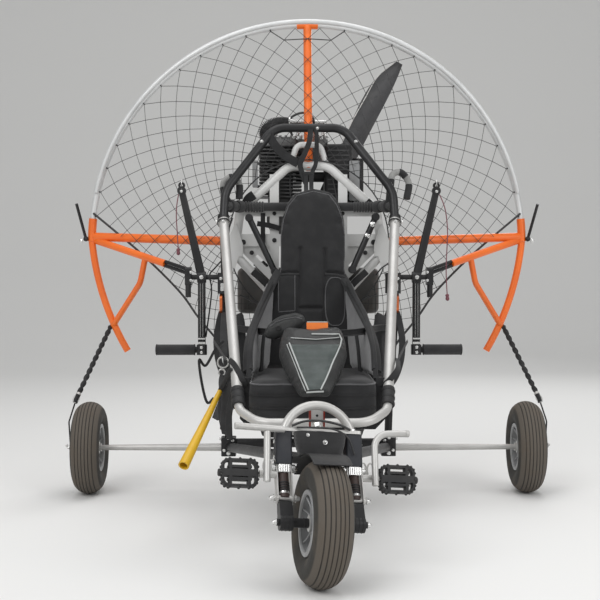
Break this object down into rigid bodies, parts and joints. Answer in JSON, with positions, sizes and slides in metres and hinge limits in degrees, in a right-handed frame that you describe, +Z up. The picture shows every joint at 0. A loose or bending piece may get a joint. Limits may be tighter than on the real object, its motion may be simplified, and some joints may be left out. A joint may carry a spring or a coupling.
{
  "type": "paramotor trike",
  "caption": "Three-wheeled tube frame with a pedal-steered front fork, seat harness, rear engine, propeller and round net cage with orange side frames.",
  "frame": {"origin": "on the ground, at the centre of the whole trike's box", "axes": "+Z up, -Y towards the front wheel, +X to the right in the picture (the trike's own left)"},
  "size_m": [1.5804, 1.6523, 1.5815],
  "materials": {
    "black_tube": "black anodised",
    "satin_silver": "satin",
    "red_plate": "red anodised",
    "black_wrap": "matt wrap",
    "white_paint": "white powder coat",
    "black_foam": "foam sleeve",
    "black_plastic": "moulded",
    "copper_anodised": "copper anodised",
    "hoop_white": "satin",
    "orange_paint": "orange powder coat",
    "engine_metal": "cast",
    "engine_black": "black cast",
    "black_hose": "ribbed hose",
    "tank_plastic": "moulded",
    "harness_black": "woven",
    "harness_grey": "woven",
    "black_webbing": "webbing",
    "yellow_plastic": "moulded",
    "black_rubber": "matt",
    "damper_rubber": "matt",
    "tyre": "dusty",
    "rim_plastic": "moulded grey",
    "cord_wine": "braided cord",
    "carbon": "carbon"
  },
  "bodies": {
    "frame": {"lower_frame": "black_tube", "head_bracket": "satin_silver", "head_plates": "red_plate", "axle_leg_left": "satin_silver", "axle_leg_right": "satin_silver", "side_tubes": "satin_silver", "seat_tube": "satin_silver", "tube_wraps": "black_wrap", "roll_arch": "black_tube", "uprights": "black_tube", "chassis_frame": "white_paint", "hang_bar": "black_foam", "hang_blocks": "black_plastic", "carabiners": "copper_anodised", "net_hoop": "hoop_white", "guard_hoop": "hoop_white", "top_spoke": "orange_paint", "cage_wing_left": "orange_paint", "cage_wing_right": "orange_paint", "arm_tubes": "black_tube", "whiskers": "black_tube", "engine_block": "engine_metal", "cylinder_fins": "engine_black", "airbox": "black_plastic", "exhaust": "black_hose", "fuel_tank": "tank_plastic", "belt_drive": "engine_metal", "back_pad": "harness_black", "seat_cushion": "harness_black", "side_panels": "harness_grey", "reserve_container": "harness_black", "ties": "black_webbing", "yellow_sleeve": "yellow_plastic", "harness_straps": "black_webbing"},
    "fork": {"fork_crown": "satin_silver", "fork_arch": "satin_silver", "fork_legs": "black_rubber", "fork_links": "satin_silver", "dampers": "damper_rubber", "front_axle": "black_tube", "mudguard": "black_plastic", "foot_guards": "satin_silver"},
    "front_wheel": {"front_tyre": "tyre", "front_rim": "rim_plastic"},
    "rear_wheel_left": {"rear_tyre_left": "tyre", "rear_rim_left": "rim_plastic"},
    "rear_wheel_right": {"rear_tyre_right": "tyre", "rear_rim_right": "rim_plastic"},
    "propeller": {"propeller": "carbon"},
    "pedal_left": {"pedal_left": "black_plastic"},
    "pedal_right": {"pedal_right": "black_plastic"},
    "lever_left": {"lever_left": "black_tube", "grip_left": "black_foam", "cord_left": "cord_wine", "knot_left": "cord_wine"},
    "lever_right": {"lever_right": "black_tube", "grip_right": "black_foam", "cord_right": "cord_wine", "knot_right": "cord_wine"}
  },
  "joints": [
    {"name": "steering", "type": "hinge", "parent": "frame", "child": "fork", "pos_m": [0, -0.56373, 0.35982], "axis": [0, 0.3584, 0.9336], "range_deg": [-42.5, 17.5]},
    {"name": "front_wheel_spin", "type": "hinge", "parent": "fork", "child": "front_wheel", "pos_m": [0.00693, -0.67783, 0.14976], "axis": [0.9763, 0.2021, -0.0776], "continuous": true},
    {"name": "pedal_left_spin", "type": "hinge", "parent": "fork", "child": "pedal_left", "pos_m": [-0.18528, -0.65536, 0.26432], "axis": [0.9763, 0.2021, -0.0776], "continuous": true},
    {"name": "pedal_right_spin", "type": "hinge", "parent": "fork", "child": "pedal_right", "pos_m": [0.18961, -0.57777, 0.23453], "axis": [0.9763, 0.2021, -0.0776], "continuous": true},
    {"name": "rear_wheel_left_spin", "type": "hinge", "parent": "frame", "child": "rear_wheel_left", "pos_m": [-0.718, 0.52217, 0.15], "axis": [1, 0, 0], "continuous": true},
    {"name": "rear_wheel_right_spin", "type": "hinge", "parent": "frame", "child": "rear_wheel_right", "pos_m": [0.718, 0.52217, 0.15], "axis": [1, 0, 0], "continuous": true},
    {"name": "propeller_spin", "type": "hinge", "parent": "frame", "child": "propeller", "pos_m": [0, 0.79017, 0.83], "axis": [0, 1, 0], "continuous": true},
    {"name": "lever_left_swing", "type": "hinge", "parent": "frame", "child": "lever_left", "pos_m": [-0.343, 0.42217, 0.71], "axis": [1, 0, 0], "range_deg": [-30, 30]},
    {"name": "lever_right_swing", "type": "hinge", "parent": "frame", "child": "lever_right", "pos_m": [0.343, 0.42217, 0.71], "axis": [1, 0, 0], "range_deg": [-30, 30]}
  ]
}
